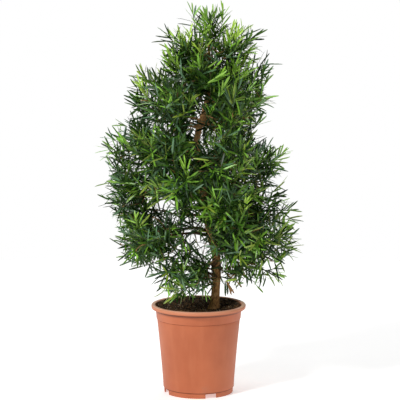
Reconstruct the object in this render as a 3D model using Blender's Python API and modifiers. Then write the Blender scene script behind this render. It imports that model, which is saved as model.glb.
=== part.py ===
"""A potted podocarpus about a metre tall, with each sub-part as its own object: a plastic nursery pot,
its soil, the trunk, the boughs and the masses of foliage. Metres, +Z up, origin under the pot's middle."""

import math

import bmesh
import bpy
from mathutils import Matrix, Vector, noise
from mathutils.bvhtree import BVHTree

# Driving dimensions, in metres
GAP = 0.0003  # between pieces that touch
MASS_GAP = 0.0008  # between two masses of foliage that press on each other

# Pot: a turned shell with a rolled lip, a shallow collar and a notched foot ring
POT_HEIGHT = 0.226
POT_LIP_RADIUS = 0.120
POT_MOUTH_RADIUS = 0.1090
POT_LIP_HEIGHT = 0.0105
POT_LIP_ROUND = 0.0038
POT_COLLAR_RADIUS = 0.1075
POT_COLLAR_BOTTOM_RADIUS = 0.1053
POT_COLLAR_HEIGHT = 0.025
POT_COLLAR_STEP = 0.0010
POT_BASE_RADIUS = 0.0900
POT_WALL = 0.0024
POT_FOOT_RADIUS = 0.0880
POT_FOOT_HEIGHT = 0.0140
POT_FOOT_WALL = 0.0035
POT_BASE_THICKNESS = 0.0030
POT_DRAFT = 0.0006  # how much the lip and the foot ring narrow downwards
POT_NOTCH_COUNT = 4
POT_NOTCH_FIRST_DEG = 21.0
POT_NOTCH_WIDTH = 0.029
POT_STEPS = 36
POT_LIP_BOTTOM = POT_HEIGHT - POT_LIP_HEIGHT
POT_COLLAR_BOTTOM = POT_LIP_BOTTOM - POT_COLLAR_HEIGHT

# Soil: it fills the pot to just under the lip
SOIL_LEVEL = 0.2165
SOIL_FLAT_RADIUS = 0.080
SOIL_EDGE_DROP = 0.0030

# Trunk: height of each station, its offset from the pot's axis to the right and to the back, and its radius
TRUNK_COURSE = (
    (0.198, 0.0340, -0.022, 0.0200),
    (0.218, 0.0385, -0.020, 0.0148),
    (0.240, 0.0415, -0.018, 0.0118),
    (0.275, 0.0445, -0.013, 0.0107),
    (0.325, 0.0455, -0.006, 0.0120),
    (0.355, 0.0430, -0.002, 0.0108),
    (0.420, 0.0265, 0.004, 0.0100),
    (0.510, 0.0110, 0.002, 0.0092),
    (0.635, -0.0060, -0.006, 0.0086),
    (0.700, 0.0110, -0.004, 0.0078),
    (0.755, 0.0240, 0.002, 0.0066),
    (0.830, 0.0270, 0.004, 0.0050),
    (0.893, 0.0245, 0.000, 0.0034),
)
TRUNK_STEPS = 2  # rings to each stretch of the course
TRUNK_SIDE_RESOLUTION = 4

# Boughs: radius where they leave the trunk, as a share of the trunk's, and at their outer end
BOUGH_BASE_SHARE = 0.48
BOUGH_TIP_RADIUS = 0.0023
BOUGH_RISE_DEG = 38.0  # how steeply a bough leaves the trunk
BOUGH_LEAVE_SHARE = 0.40  # how much of its span it keeps near the way it leaves the trunk
BOUGH_ARRIVE_SHARE = 0.35  # and near the way it enters its mass
BOUGH_STEPS = 4
BOUGH_SIDE_RESOLUTION = 2

# Masses of foliage: name, middle (x, y, z), length outwards, width across, depth square to both, pitch of
# the length in degrees, and the height at which the bough leaves the trunk, or None where there is no bough
MASSES = (
    ("upper_left", (-0.026, -0.020, 0.838), 0.178, 0.108, 0.112, 66, None),
    ("upper_right", (0.084, -0.012, 0.852), 0.182, 0.116, 0.116, 60, None),
    ("upper_front", (0.024, -0.072, 0.806), 0.160, 0.134, 0.118, 44, None),
    ("upper_back", (0.030, 0.074, 0.804), 0.164, 0.140, 0.118, 44, None),
    ("shoulder_left", (-0.108, -0.008, 0.756), 0.166, 0.142, 0.134, 40, 0.690),
    ("shoulder_right", (0.118, -0.004, 0.756), 0.186, 0.150, 0.136, 48, 0.690),
    ("shoulder_front_left", (-0.066, -0.110, 0.732), 0.168, 0.150, 0.134, 36, 0.668),
    ("shoulder_front_right", (0.088, -0.112, 0.734), 0.168, 0.144, 0.134, 36, 0.676),
    ("shoulder_back_left", (-0.070, 0.108, 0.736), 0.172, 0.158, 0.138, 36, 0.672),
    ("shoulder_back_right", (0.092, 0.106, 0.742), 0.172, 0.154, 0.138, 36, 0.682),
    ("mid_left_high", (-0.142, -0.010, 0.644), 0.172, 0.164, 0.134, 20, 0.606),
    ("mid_left", (-0.162, -0.018, 0.552), 0.180, 0.172, 0.130, 12, 0.520),
    ("mid_front_left", (-0.088, -0.132, 0.634), 0.172, 0.162, 0.134, 22, 0.590),
    ("mid_front", (-0.044, -0.148, 0.540), 0.174, 0.174, 0.134, 14, 0.508),
    ("mid_front_right", (0.062, -0.138, 0.620), 0.176, 0.158, 0.136, 20, 0.582),
    ("mid_right", (0.138, -0.008, 0.592), 0.180, 0.164, 0.124, 10, 0.560),
    ("mid_back_right", (0.102, 0.126, 0.630), 0.178, 0.172, 0.136, 20, 0.588),
    ("mid_back_left", (-0.088, 0.130, 0.628), 0.178, 0.178, 0.136, 20, 0.584),
    ("waist_left", (-0.142, 0.034, 0.462), 0.170, 0.162, 0.124, 6, 0.438),
    ("waist_front", (0.054, -0.152, 0.496), 0.166, 0.160, 0.130, 8, 0.468),
    ("waist_right", (0.144, -0.026, 0.498), 0.170, 0.154, 0.114, 8, 0.478),
    ("waist_back", (0.036, 0.154, 0.514), 0.168, 0.188, 0.134, 8, 0.480),
    ("lower_left", (-0.132, -0.058, 0.402), 0.172, 0.154, 0.126, -4, 0.392),
    ("lower_back_left", (-0.124, 0.102, 0.404), 0.156, 0.150, 0.124, -2, 0.404),
    ("lower_front", (0.084, -0.126, 0.408), 0.162, 0.158, 0.134, -2, 0.396),
    ("lower_right", (0.170, -0.026, 0.402), 0.168, 0.174, 0.142, 4, 0.346),
    ("lower_back_right", (0.108, 0.114, 0.410), 0.170, 0.180, 0.134, 0, 0.378),
    ("skirt_left", (-0.048, -0.066, 0.304), 0.154, 0.146, 0.130, -12, 0.330),
    ("skirt_right", (0.138, -0.008, 0.307), 0.168, 0.154, 0.104, -8, 0.318),
)
TIP_MASS = ("crown_tip", 0.110, 0.094, 0.092)  # name, height, width and depth: it stands on the trunk's end
TIP_LEAN = (0.004, 0.0)
TIP_SINK = 0.014  # how far it starts below the trunk's end, where it is cut off
MASS_SEGMENTS = 10
MASS_RINGS = 7
MASS_INNER_WIDTH = 0.62  # width of a mass at its inner end, as a share of its outer end's
MASS_UNEVENNESS = 0.26  # depth of the hollows between the lumps of a mass, as a share of its size
MASS_LUMP_SCALE = 1.8
MASS_SEAT_SHARE = 0.07  # how much of a mass's length is cut off flat, where the bough enters it
UPPER_MASS_DROP = 0.030  # a mass on the trunk itself points away from a place this far below its middle
TRUNK_CLEAR_STRETCH = 0.020  # a mass is cut clear of the trunk up to this far above and below itself
UP = Vector((0, 0, 1))

# Finishes: colour, roughness and metallic value
FINISHES = {
    "pot_plastic": ((0.56, 0.20, 0.105), 0.55, 0.0),
    "soil": ((0.035, 0.022, 0.014), 0.95, 0.0),
    "bark": ((0.20, 0.115, 0.055), 0.85, 0.0),
    "foliage": ((0.05, 0.14, 0.035), 0.50, 0.0),
}


def make_materials():
    made = {}
    for name, (colour, roughness, metallic) in FINISHES.items():
        material = bpy.data.materials.new(name)
        material.use_nodes = True
        shader = material.node_tree.nodes["Principled BSDF"]
        shader.inputs["Base Color"].default_value = (*colour, 1.0)
        shader.inputs["Roughness"].default_value = roughness
        shader.inputs["Metallic"].default_value = metallic
        made[name] = material
    return made


def new_collection(name):
    collection = bpy.data.collections.new(name)
    bpy.context.scene.collection.children.link(collection)
    return collection


def keep_in(obj, collection):
    for other in list(obj.users_collection):
        other.objects.unlink(obj)
    collection.objects.link(obj)


def smooth(obj, degrees=40):
    obj.data.shade_smooth()
    obj.data.set_sharp_from_angle(angle=math.radians(degrees))


def mesh_of(obj):
    """A real mesh of a curve object, its caps welded, in the same place. The curve is removed."""
    evaluated = obj.evaluated_get(bpy.context.evaluated_depsgraph_get())
    mesh = bpy.data.meshes.new_from_object(evaluated)
    name, place = obj.name, obj.matrix_world.copy()
    bpy.data.objects.remove(obj)
    edit = bmesh.new()
    edit.from_mesh(mesh)
    bmesh.ops.remove_doubles(edit, verts=edit.verts, dist=0.00001)
    bmesh.ops.recalc_face_normals(edit, faces=edit.faces)
    edit.to_mesh(mesh)
    edit.free()
    made = bpy.data.objects.new(name, mesh)
    made.matrix_world = place
    return made


def trim(obj, point, normal):
    """Cuts obj flat and keeps the side that normal points away from. The cut is closed."""
    edit = bmesh.new()
    edit.from_mesh(obj.data)
    geometry = [*edit.verts, *edit.edges, *edit.faces]
    cut = bmesh.ops.bisect_plane(
        edit, geom=geometry, dist=0.000001, plane_co=point, plane_no=normal, clear_outer=True
    )
    rim = [e for e in cut["geom_cut"] if isinstance(e, bmesh.types.BMEdge)]
    if rim:
        bmesh.ops.holes_fill(edit, edges=rim, sides=0)
    bmesh.ops.triangulate(edit, faces=edit.faces)
    bmesh.ops.recalc_face_normals(edit, faces=edit.faces)
    edit.to_mesh(obj.data)
    edit.free()


def applied(obj):
    """obj with its modifiers made into its mesh."""
    bpy.context.view_layer.update()
    evaluated = obj.evaluated_get(bpy.context.evaluated_depsgraph_get())
    mesh = bpy.data.meshes.new_from_object(evaluated)
    obj.modifiers.clear()
    obj.data = mesh
    return obj


def subtract(obj, cutter):
    modifier = obj.modifiers.new("cut", "BOOLEAN")
    modifier.operation = "DIFFERENCE"
    modifier.object = cutter
    applied(obj)


def hide_as_cutter(obj, cutters):
    obj.hide_render = True
    obj.display_type = "WIRE"
    keep_in(obj, cutters)


def turned(name, profile, steps):
    """A solid turned round the Z axis from a closed section of (radius, height) points, outer side first.
    Where the section meets the axis in two points, the stretch between them is left out."""
    mesh = bpy.data.meshes.new(name)
    on_axis = {i for i, (radius, _) in enumerate(profile) if radius == 0.0}
    edges = [(i, (i + 1) % len(profile)) for i in range(len(profile))]
    edges = [edge for edge in edges if set(edge) != on_axis]
    mesh.from_pydata([(radius, 0.0, height) for radius, height in profile], edges, [])
    obj = bpy.data.objects.new(name, mesh)
    bpy.context.scene.collection.objects.link(obj)
    screw = obj.modifiers.new("turn", "SCREW")
    screw.steps = screw.render_steps = steps
    screw.use_merge_vertices = True
    screw.merge_threshold = 0.00001
    return applied(obj)


def pot_inner_radius(height):
    """Radius of the inside of the pot's wall, from its base plate up to the collar."""
    share = (height - POT_FOOT_HEIGHT) / (POT_COLLAR_BOTTOM - POT_FOOT_HEIGHT)
    outer = POT_BASE_RADIUS + share * (POT_COLLAR_BOTTOM_RADIUS - POT_COLLAR_STEP - POT_BASE_RADIUS)
    return outer - POT_WALL


def pot_profile():
    """Section from the lip's top down the outside, round the foot ring and base plate, and up the inside."""
    recess_top = POT_FOOT_HEIGHT - POT_BASE_THICKNESS
    return [
        (POT_LIP_RADIUS - POT_LIP_ROUND, POT_HEIGHT),
        (POT_LIP_RADIUS - POT_LIP_ROUND * 0.3, POT_HEIGHT - POT_LIP_ROUND * 0.3),
        (POT_LIP_RADIUS, POT_HEIGHT - POT_LIP_ROUND),
        (POT_LIP_RADIUS - POT_DRAFT, POT_LIP_BOTTOM),
        (POT_COLLAR_RADIUS, POT_LIP_BOTTOM),
        (POT_COLLAR_BOTTOM_RADIUS, POT_COLLAR_BOTTOM + POT_COLLAR_STEP),
        (POT_COLLAR_BOTTOM_RADIUS - POT_COLLAR_STEP, POT_COLLAR_BOTTOM),
        (POT_BASE_RADIUS, POT_FOOT_HEIGHT),
        (POT_FOOT_RADIUS, POT_FOOT_HEIGHT),
        (POT_FOOT_RADIUS - POT_DRAFT, 0.0),
        (POT_FOOT_RADIUS - POT_FOOT_WALL, 0.0),
        (POT_FOOT_RADIUS - POT_FOOT_WALL, recess_top),
        (0.0, recess_top),
        (0.0, POT_FOOT_HEIGHT),
        (pot_inner_radius(POT_FOOT_HEIGHT), POT_FOOT_HEIGHT),
        (pot_inner_radius(POT_COLLAR_BOTTOM), POT_COLLAR_BOTTOM),
        (POT_COLLAR_RADIUS - POT_WALL, POT_LIP_BOTTOM),
        (POT_MOUTH_RADIUS, POT_HEIGHT - POT_LIP_ROUND),
        (POT_MOUTH_RADIUS + POT_LIP_ROUND * 0.6, POT_HEIGHT),
    ]


def make_pot(cutters):
    obj = turned("pot", pot_profile(), POT_STEPS)
    reach = POT_FOOT_RADIUS - POT_FOOT_WALL / 2
    notch_height = POT_FOOT_HEIGHT - POT_BASE_THICKNESS
    for i in range(POT_NOTCH_COUNT):
        angle = math.radians(POT_NOTCH_FIRST_DEG + i * 360 / POT_NOTCH_COUNT)
        bpy.ops.mesh.primitive_cube_add(size=1)
        cutter = bpy.context.object
        cutter.name = f"notch_cutter_{i}"
        cutter.scale = (POT_FOOT_WALL * 4, POT_NOTCH_WIDTH, notch_height * 2)
        cutter.rotation_euler = (0, 0, angle)
        cutter.location = (reach * math.cos(angle), reach * math.sin(angle), 0)
        hide_as_cutter(cutter, cutters)
        subtract(obj, cutter)
    return obj


def make_soil():
    """Soil from the pot's base plate to SOIL_LEVEL, a little lower at its edge, GAP clear of the wall."""
    bottom = POT_FOOT_HEIGHT + GAP
    return turned(
        "soil",
        [
            (0.0, SOIL_LEVEL),
            (SOIL_FLAT_RADIUS, SOIL_LEVEL),
            (POT_COLLAR_RADIUS - POT_WALL - GAP * 2, SOIL_LEVEL - SOIL_EDGE_DROP),
            (pot_inner_radius(POT_COLLAR_BOTTOM) - GAP, POT_COLLAR_BOTTOM - GAP),
            (pot_inner_radius(POT_FOOT_HEIGHT) - GAP * 2, bottom),
            (0.0, bottom),
        ],
        POT_STEPS // 2,
    )


def spline_through(stations, steps):
    """Points on a smooth curve through stations of any width, with steps points to each stretch."""
    padded = [stations[0], *stations, stations[-1]]
    found = []
    for i in range(len(stations) - 1):
        before, start, end, after = (Vector(s) for s in padded[i : i + 4])
        for k in range(steps):
            t = k / steps
            found.append(
                0.5
                * (
                    2 * start
                    + (end - before) * t
                    + (2 * before - 5 * start + 4 * end - after) * t**2
                    + (3 * start - before - 3 * end + after) * t**3
                )
            )
    found.append(Vector(stations[-1]))
    return found


def trunk_at(height):
    """(point on the trunk's middle line, radius) at a height."""
    for low, high in zip(TRUNK_COURSE, TRUNK_COURSE[1:]):
        if low[0] <= height <= high[0]:
            t = (height - low[0]) / (high[0] - low[0])
            x, y, radius = (a + (b - a) * t for a, b in zip(low[1:], high[1:]))
            return Vector((x, y, height)), radius
    raise ValueError(f"the trunk has no height {height}")


def limb(name, points, radii, side_resolution):
    """One tapering round limb as a mesh."""
    curve = bpy.data.curves.new(name, "CURVE")
    curve.dimensions = "3D"
    curve.bevel_depth = 1.0
    curve.bevel_resolution = side_resolution
    curve.use_fill_caps = True
    spline = curve.splines.new("POLY")
    spline.points.add(len(points) - 1)
    for place, point, radius in zip(spline.points, points, radii):
        place.co = (*point, 1.0)
        place.radius = radius
    obj = bpy.data.objects.new(name, curve)
    bpy.context.scene.collection.objects.link(obj)
    bpy.context.view_layer.update()
    made = mesh_of(obj)
    bpy.context.scene.collection.objects.link(made)
    return made


def make_trunk():
    course = [(x, y, height) for height, x, y, _ in TRUNK_COURSE]
    radii = [(radius, 0, 0) for _, _, _, radius in TRUNK_COURSE]
    points = spline_through(course, TRUNK_STEPS)
    obj = limb("trunk", points, [r.x for r in spline_through(radii, TRUNK_STEPS)], TRUNK_SIDE_RESOLUTION)
    trim(obj, Vector((0, 0, SOIL_LEVEL + GAP)), -UP)
    return obj


def make_sleeve(trunk, cutters):
    """A copy of the trunk, fatter by GAP, that shapes the foot of each bough."""
    sleeve = bpy.data.objects.new("trunk_sleeve", trunk.data.copy())
    normals = [v.normal.copy() for v in sleeve.data.vertices]
    for vertex, normal in zip(sleeve.data.vertices, normals):
        vertex.co += normal * GAP
    hide_as_cutter(sleeve, cutters)
    return sleeve


def outward_of(middle, pitch, start):
    """Unit vector from a point on the trunk towards a mass, tilted up by pitch degrees."""
    flat = Vector((middle.x - start.x, middle.y - start.y, 0)).normalized()
    tilt = math.radians(pitch)
    return flat * math.cos(tilt) + UP * math.sin(tilt)


def mass_axes(outward):
    """A mass's own axes: across, square to both, and outward."""
    across = outward.cross(UP).normalized()
    if across.length < 0.5:
        across = Vector((1, 0, 0))
    return across, across.cross(outward), outward


def make_mass(name, middle, outward, size, seed):
    """An uneven lump of a true size across, square to both and outward, narrower at its inner end."""
    bpy.ops.mesh.primitive_uv_sphere_add(segments=MASS_SEGMENTS, ring_count=MASS_RINGS, radius=1)
    obj = bpy.context.object
    obj.name = obj.data.name = name
    shift = Vector((3.7, 1.3, 2.9)) * seed
    depths = [noise.noise(v.co * MASS_LUMP_SCALE + shift) for v in obj.data.vertices]
    shaped = []
    for vertex, depth in zip(obj.data.vertices, depths):
        taper = MASS_INNER_WIDTH + (1 - MASS_INNER_WIDTH) * (vertex.co.z + 1) / 2
        share = 1 - MASS_UNEVENNESS * (max(depths) - depth)
        shaped.append(vertex.co * Vector((taper, taper, 1)) * share)
    lowest = Vector([min(point[i] for point in shaped) for i in range(3)])
    highest = Vector([max(point[i] for point in shaped) for i in range(3)])
    for vertex, point in zip(obj.data.vertices, shaped):
        place = [(point[i] - lowest[i]) / (highest[i] - lowest[i]) - 0.5 for i in range(3)]
        vertex.co = Vector(place) * size
    turn = Matrix(mass_axes(outward)).transposed().to_4x4()
    obj.data.transform(Matrix.Translation(middle) @ turn)
    return {"obj": obj, "middle": middle, "outward": outward, "size": size}


def reach_of(mass, towards):
    """Distance from a mass's middle to its even outline along a unit vector."""
    shares = [2 * towards.dot(axis) / side for axis, side in zip(mass_axes(mass["outward"]), mass["size"])]
    return 1 / Vector(shares).length


def surface_of(obj):
    """The object's surface for finding where it meets another, once it is all triangles."""
    edit = bmesh.new()
    edit.from_mesh(obj.data)
    bmesh.ops.triangulate(edit, faces=edit.faces)
    edit.to_mesh(obj.data)
    surface = BVHTree.FromBMesh(edit)
    edit.free()
    return surface


def part_masses(masses):
    """Cuts each two masses that meet along one plane between them."""
    for i, first in enumerate(masses):
        for second in masses[i + 1 :]:
            if not surface_of(first["obj"]).overlap(surface_of(second["obj"])):
                continue
            between = second["middle"] - first["middle"]
            towards = between.normalized()
            reach = reach_of(first, towards)
            seam = first["middle"] + between * reach / (reach + reach_of(second, towards))
            trim(first["obj"], seam - towards * MASS_GAP / 2, towards)
            trim(second["obj"], seam + towards * MASS_GAP / 2, -towards)


def clear_of_trunk(mass, trunk):
    """Cuts a mass flat beside the stretch of trunk that it passes."""
    heights = [v.co.z for v in mass["obj"].data.vertices]
    low, high = min(heights) - TRUNK_CLEAR_STRETCH, max(heights) + TRUNK_CLEAR_STRETCH
    start, _ = trunk_at(mass["middle"].z)
    away = Vector((mass["middle"].x - start.x, mass["middle"].y - start.y, 0)).normalized()
    beside = max(v.co.dot(away) for v in trunk.data.vertices if low <= v.co.z <= high)
    trim(mass["obj"], away * (beside + GAP), -away)


def bough_course(start, finish, outward):
    """Points from the trunk's middle line to the mass: the limb leaves steeply and ends along outward."""
    span = (finish - start).length
    leave = start + outward_of(finish, BOUGH_RISE_DEG, start) * span * BOUGH_LEAVE_SHARE
    arrive = finish - outward * span * BOUGH_ARRIVE_SHARE
    found = []
    for k in range(BOUGH_STEPS + 1):
        t = k / BOUGH_STEPS
        inner = start * (1 - t) ** 3 + leave * 3 * t * (1 - t) ** 2
        found.append(inner + arrive * 3 * t**2 * (1 - t) + finish * t**3)
    return found


def make_bough(name, mass, leaves_at, sleeve):
    """The limb that carries a mass. The mass is cut flat where the limb enters it."""
    start, trunk_radius = trunk_at(leaves_at)
    middle, outward = mass["middle"], mass["outward"]
    innermost = min((v.co - middle).dot(outward) for v in mass["obj"].data.vertices)
    seat = middle + outward * (innermost + mass["size"].z * MASS_SEAT_SHARE)
    trim(mass["obj"], seat, -outward)
    base_radius = trunk_radius * BOUGH_BASE_SHARE
    taper = (BOUGH_TIP_RADIUS - base_radius) / BOUGH_STEPS
    radii = [base_radius + taper * k for k in range(BOUGH_STEPS + 1)]
    points = [*bough_course(start, seat, outward), seat + outward * BOUGH_TIP_RADIUS]
    bough = limb(name, points, [*radii, BOUGH_TIP_RADIUS], BOUGH_SIDE_RESOLUTION)
    trim(bough, seat - outward * GAP, outward)
    subtract(bough, sleeve)
    return bough


def make_crown(trunk, sleeve):
    """All masses and boughs: (masses, boughs) as objects."""
    masses, boughs = [], []
    for seed, (name, middle, length, width, depth, pitch, leaves_at) in enumerate(MASSES, start=1):
        middle = Vector(middle)
        start, _ = trunk_at(leaves_at or middle.z - UPPER_MASS_DROP)
        outward = outward_of(middle, pitch, start)
        mass = make_mass(name, middle, outward, Vector((width, depth, length)), seed)
        masses.append(mass)
        if leaves_at:
            boughs.append(make_bough(f"bough_{name}", mass, leaves_at, sleeve))
        clear_of_trunk(mass, trunk)

    name, length, width, depth = TIP_MASS
    trunk_end, _ = trunk_at(TRUNK_COURSE[-1][0])
    middle = trunk_end + Vector((*TIP_LEAN, length / 2 - TIP_SINK))
    tip = make_mass(name, middle, UP, Vector((width, depth, length)), len(MASSES) + 1)
    trim(tip["obj"], trunk_end + UP * GAP * 2, -UP)
    masses.append(tip)
    part_masses(masses)
    return [mass["obj"] for mass in masses], boughs


def main():
    for obj in list(bpy.data.objects):
        bpy.data.objects.remove(obj)
    plant = new_collection("podocarpus")
    cutters = new_collection("cutters")
    cutters.hide_render = True
    materials = make_materials()

    pot = make_pot(cutters)
    soil = make_soil()
    trunk = make_trunk()
    sleeve = make_sleeve(trunk, cutters)
    masses, boughs = make_crown(trunk, sleeve)

    finished = [(pot, "pot_plastic"), (soil, "soil"), (trunk, "bark")]
    finished += [(bough, "bark") for bough in boughs]
    finished += [(mass, "foliage") for mass in masses]
    for obj, finish in finished:
        obj.data.materials.clear()
        obj.data.materials.append(materials[finish])
        keep_in(obj, plant)
        smooth(obj)


main()
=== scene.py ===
# A podocarpus in a terracotta-coloured pot, in metres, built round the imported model

import math

import bpy
import numpy as np
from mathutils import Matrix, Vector, noise
from mathutils.bvhtree import BVHTree
from mathutils.kdtree import KDTree


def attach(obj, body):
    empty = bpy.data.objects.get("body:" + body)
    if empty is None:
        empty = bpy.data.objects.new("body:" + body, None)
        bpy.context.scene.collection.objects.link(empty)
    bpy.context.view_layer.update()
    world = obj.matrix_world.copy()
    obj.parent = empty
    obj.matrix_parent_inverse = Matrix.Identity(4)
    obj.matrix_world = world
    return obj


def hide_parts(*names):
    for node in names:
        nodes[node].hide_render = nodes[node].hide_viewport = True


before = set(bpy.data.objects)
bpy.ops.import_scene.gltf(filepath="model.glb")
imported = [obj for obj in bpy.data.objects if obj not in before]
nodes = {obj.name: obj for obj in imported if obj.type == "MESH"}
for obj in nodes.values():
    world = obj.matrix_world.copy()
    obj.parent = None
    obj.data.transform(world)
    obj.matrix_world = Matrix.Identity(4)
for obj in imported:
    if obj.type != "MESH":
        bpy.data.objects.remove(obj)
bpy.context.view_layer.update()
bareNodes = ("pot", "soil", "trunk")
boughNames = sorted(name for name in nodes if name.startswith("bough_"))
massNames = sorted(name for name in nodes if name not in bareNodes and name not in boughNames)
upWay = np.array((0.0, 0.0, 1.0))
lookAhead = 0.004  # to either side of a place on a line, for its way there
goldenTurn = math.radians(137.508)  # from one leaf to the next round a shoot
print("frame loaded:", len(massNames), "masses,", len(boughNames), "boughs")


# Camera: level with the crown's top, a long lens

cameraSettings = {
    "place": (0.0036, -4.0, 0.99),
    "aim": (0.0036, 0.0, 0.4913),
    "lens": 143.9,
    "sensor": 36.0,
}

bpy.ops.object.select_all(action="DESELECT")
bpy.ops.object.camera_add(location=cameraSettings["place"])
camera = bpy.context.object
camera.name = "camera"
camera.data.lens = cameraSettings["lens"]
camera.data.sensor_width = cameraSettings["sensor"]
lookWay = Vector(cameraSettings["aim"]) - camera.location
camera.rotation_euler = lookWay.to_track_quat("-Z", "Y").to_euler()
bpy.context.scene.camera = camera


# Shader maths


class Wire:
    # a node's output that adds, multiplies and compares as a number does
    def __init__(self, tree, socket=None):
        self.tree = tree
        self.socket = socket

    def node(self, kind, settings=None, sockets=None, out=0):
        made = self.tree.nodes.new("ShaderNode" + kind)
        for name, value in (settings or {}).items():
            setattr(made, name, value)
        for name, value in (sockets or {}).items():
            if isinstance(value, Wire):
                self.tree.links.new(value.socket, made.inputs[name])
            else:
                made.inputs[name].default_value = value
        return Wire(self.tree, made.outputs[out])

    def maths(self, operation, first, second=0.0):
        return self.node("Math", {"operation": operation}, {0: first, 1: second})

    def __add__(self, other):
        return self.maths("ADD", self, other)

    def __radd__(self, other):
        return self.maths("ADD", other, self)

    def __sub__(self, other):
        return self.maths("SUBTRACT", self, other)

    def __rsub__(self, other):
        return self.maths("SUBTRACT", other, self)

    def __mul__(self, other):
        return self.maths("MULTIPLY", self, other)

    def __rmul__(self, other):
        return self.maths("MULTIPLY", other, self)

    def __abs__(self):
        return self.maths("ABSOLUTE", self)

    def between(self, low, high):  # 0 below low, 1 above high, smooth in between
        settings = {"interpolation_type": "SMOOTHSTEP", "clamp": True}
        return self.node("MapRange", settings, {"Value": self, "From Min": low, "From Max": high})

    def colours(self, first, second):  # this value mixes two colours
        first, second = (end if isinstance(end, Wire) else solid(end) for end in (first, second))
        return self.node("Mix", {"data_type": "RGBA"}, {0: self, 6: first, 7: second}, 2)

    def axis(self, name):
        return self.node("SeparateXYZ", None, {0: self}, name)

    def stretched(self, share):  # drawn out along z
        return self.node("Mapping", None, {0: self, "Scale": (1, 1, share)})

    def noiseField(self, scale, detail, rough=0.5):
        sockets = {"Vector": self, "Scale": scale, "Detail": detail, "Roughness": rough}
        return self.node("TexNoise", None, sockets)

    def bump(self, strength, distance):
        return self.node("Bump", None, {"Strength": strength, "Distance": distance, "Height": self})


def solid(colour):
    return (*colour, 1.0)


def newMaterial(name, build, **fixed):
    # build turns Object coordinates into the wires of the shader's sockets; fixed are its constants
    material = bpy.data.materials.new(name)
    material.use_nodes = True
    tree = material.node_tree
    shader = tree.nodes["Principled BSDF"]
    for socket, value in fixed.items():
        shader.inputs[socket.replace("_", " ")].default_value = value
    if build:
        place = Wire(tree).node("TexCoord", out="Object")
        for socket, wire in build(place).items():
            tree.links.new(wire.socket, shader.inputs[socket])
    return material


# Modelling helpers


def deselectAll():
    if bpy.context.object and bpy.context.object.mode != "OBJECT":
        bpy.ops.object.mode_set(mode="OBJECT")
    bpy.ops.object.select_all(action="DESELECT")


def pick(piece):
    deselectAll()
    piece.select_set(True)
    bpy.context.view_layer.objects.active = piece


def editAll():
    bpy.ops.object.mode_set(mode="EDIT")
    bpy.ops.mesh.select_all(action="SELECT")


def leaveEdit():
    # with every face turned outwards
    bpy.ops.mesh.select_all(action="SELECT")
    bpy.ops.mesh.normals_make_consistent(inside=False)
    bpy.ops.object.mode_set(mode="OBJECT")


def applyPlace(piece):
    pick(piece)
    bpy.ops.object.transform_apply(location=True, rotation=True, scale=True)


def joined(pieces, name):
    deselectAll()
    for piece in pieces:
        piece.select_set(True)
    bpy.context.view_layer.objects.active = pieces[0]
    bpy.ops.object.join()
    pieces[0].name = pieces[0].data.name = name
    return pieces[0]


def withModifier(piece, kind, **settings):
    pick(piece)
    bpy.ops.object.modifier_add(type=kind)
    modifier = piece.modifiers[-1]
    for name, value in settings.items():
        setattr(modifier, name, value)
    bpy.ops.object.modifier_apply(modifier=modifier.name)


def smoothShade(piece, degrees):
    pick(piece)
    bpy.ops.object.shade_smooth_by_angle(angle=math.radians(degrees))


def finished(piece, name, slot, replaced, *materials):
    piece.name = piece.data.name = name
    piece.data.materials.clear()
    for material in materials:
        piece.data.materials.append(material)
    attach(piece, "root")
    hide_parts(*replaced)
    print(name, len(piece.data.polygons), "faces")


def turned(name, profile, sides):
    # a closed turned shell: a ring is extruded along the profile, both its ends are filled
    deselectAll()
    wasRadius, wasHeight = profile[0]
    bpy.ops.mesh.primitive_circle_add(
        vertices=sides, radius=wasRadius, fill_type="NOTHING", location=(0, 0, wasHeight)
    )
    piece = bpy.context.object
    piece.name = name
    applyPlace(piece)
    editAll()
    for radius, height in profile[1:]:
        rise = (0, 0, height - wasHeight)
        bpy.ops.mesh.extrude_region_move(TRANSFORM_OT_translate={"value": rise})
        share = radius / wasRadius
        bpy.ops.transform.resize(value=(share, share, 1), center_override=(0, 0, height))
        wasRadius, wasHeight = radius, height
    bpy.ops.mesh.edge_face_add()
    bpy.ops.mesh.select_all(action="DESELECT")
    bpy.ops.mesh.select_non_manifold(extend=False)
    bpy.ops.mesh.edge_face_add()
    leaveEdit()
    return piece


def pointsOf(mesh):
    found = np.empty(len(mesh.vertices) * 3)
    mesh.vertices.foreach_get("co", found)
    return found.reshape(-1, 3)


def cornersOf(mesh):
    mesh.calc_loop_triangles()
    found = np.empty(len(mesh.loop_triangles) * 3, np.int32)
    mesh.loop_triangles.foreach_get("vertices", found)
    return found.reshape(-1, 3)


def runOf(line):
    # how far along a line each of its points is
    return np.concatenate(([0.0], np.cumsum(np.linalg.norm(np.diff(line, axis=0), axis=1))))


def onLine(line, run, at):
    # the points at these distances along a line
    return np.stack([np.interp(at, run, line[:, i]) for i in range(3)], -1)


def unit(way):
    return way / max(np.linalg.norm(way), 1e-9)


def units(ways):
    return ways / np.maximum(np.linalg.norm(ways, axis=-1, keepdims=True), 1e-9)


# Pot: turned shell with a rounded lip, a shallow collar and a foot ring with four notches

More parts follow.
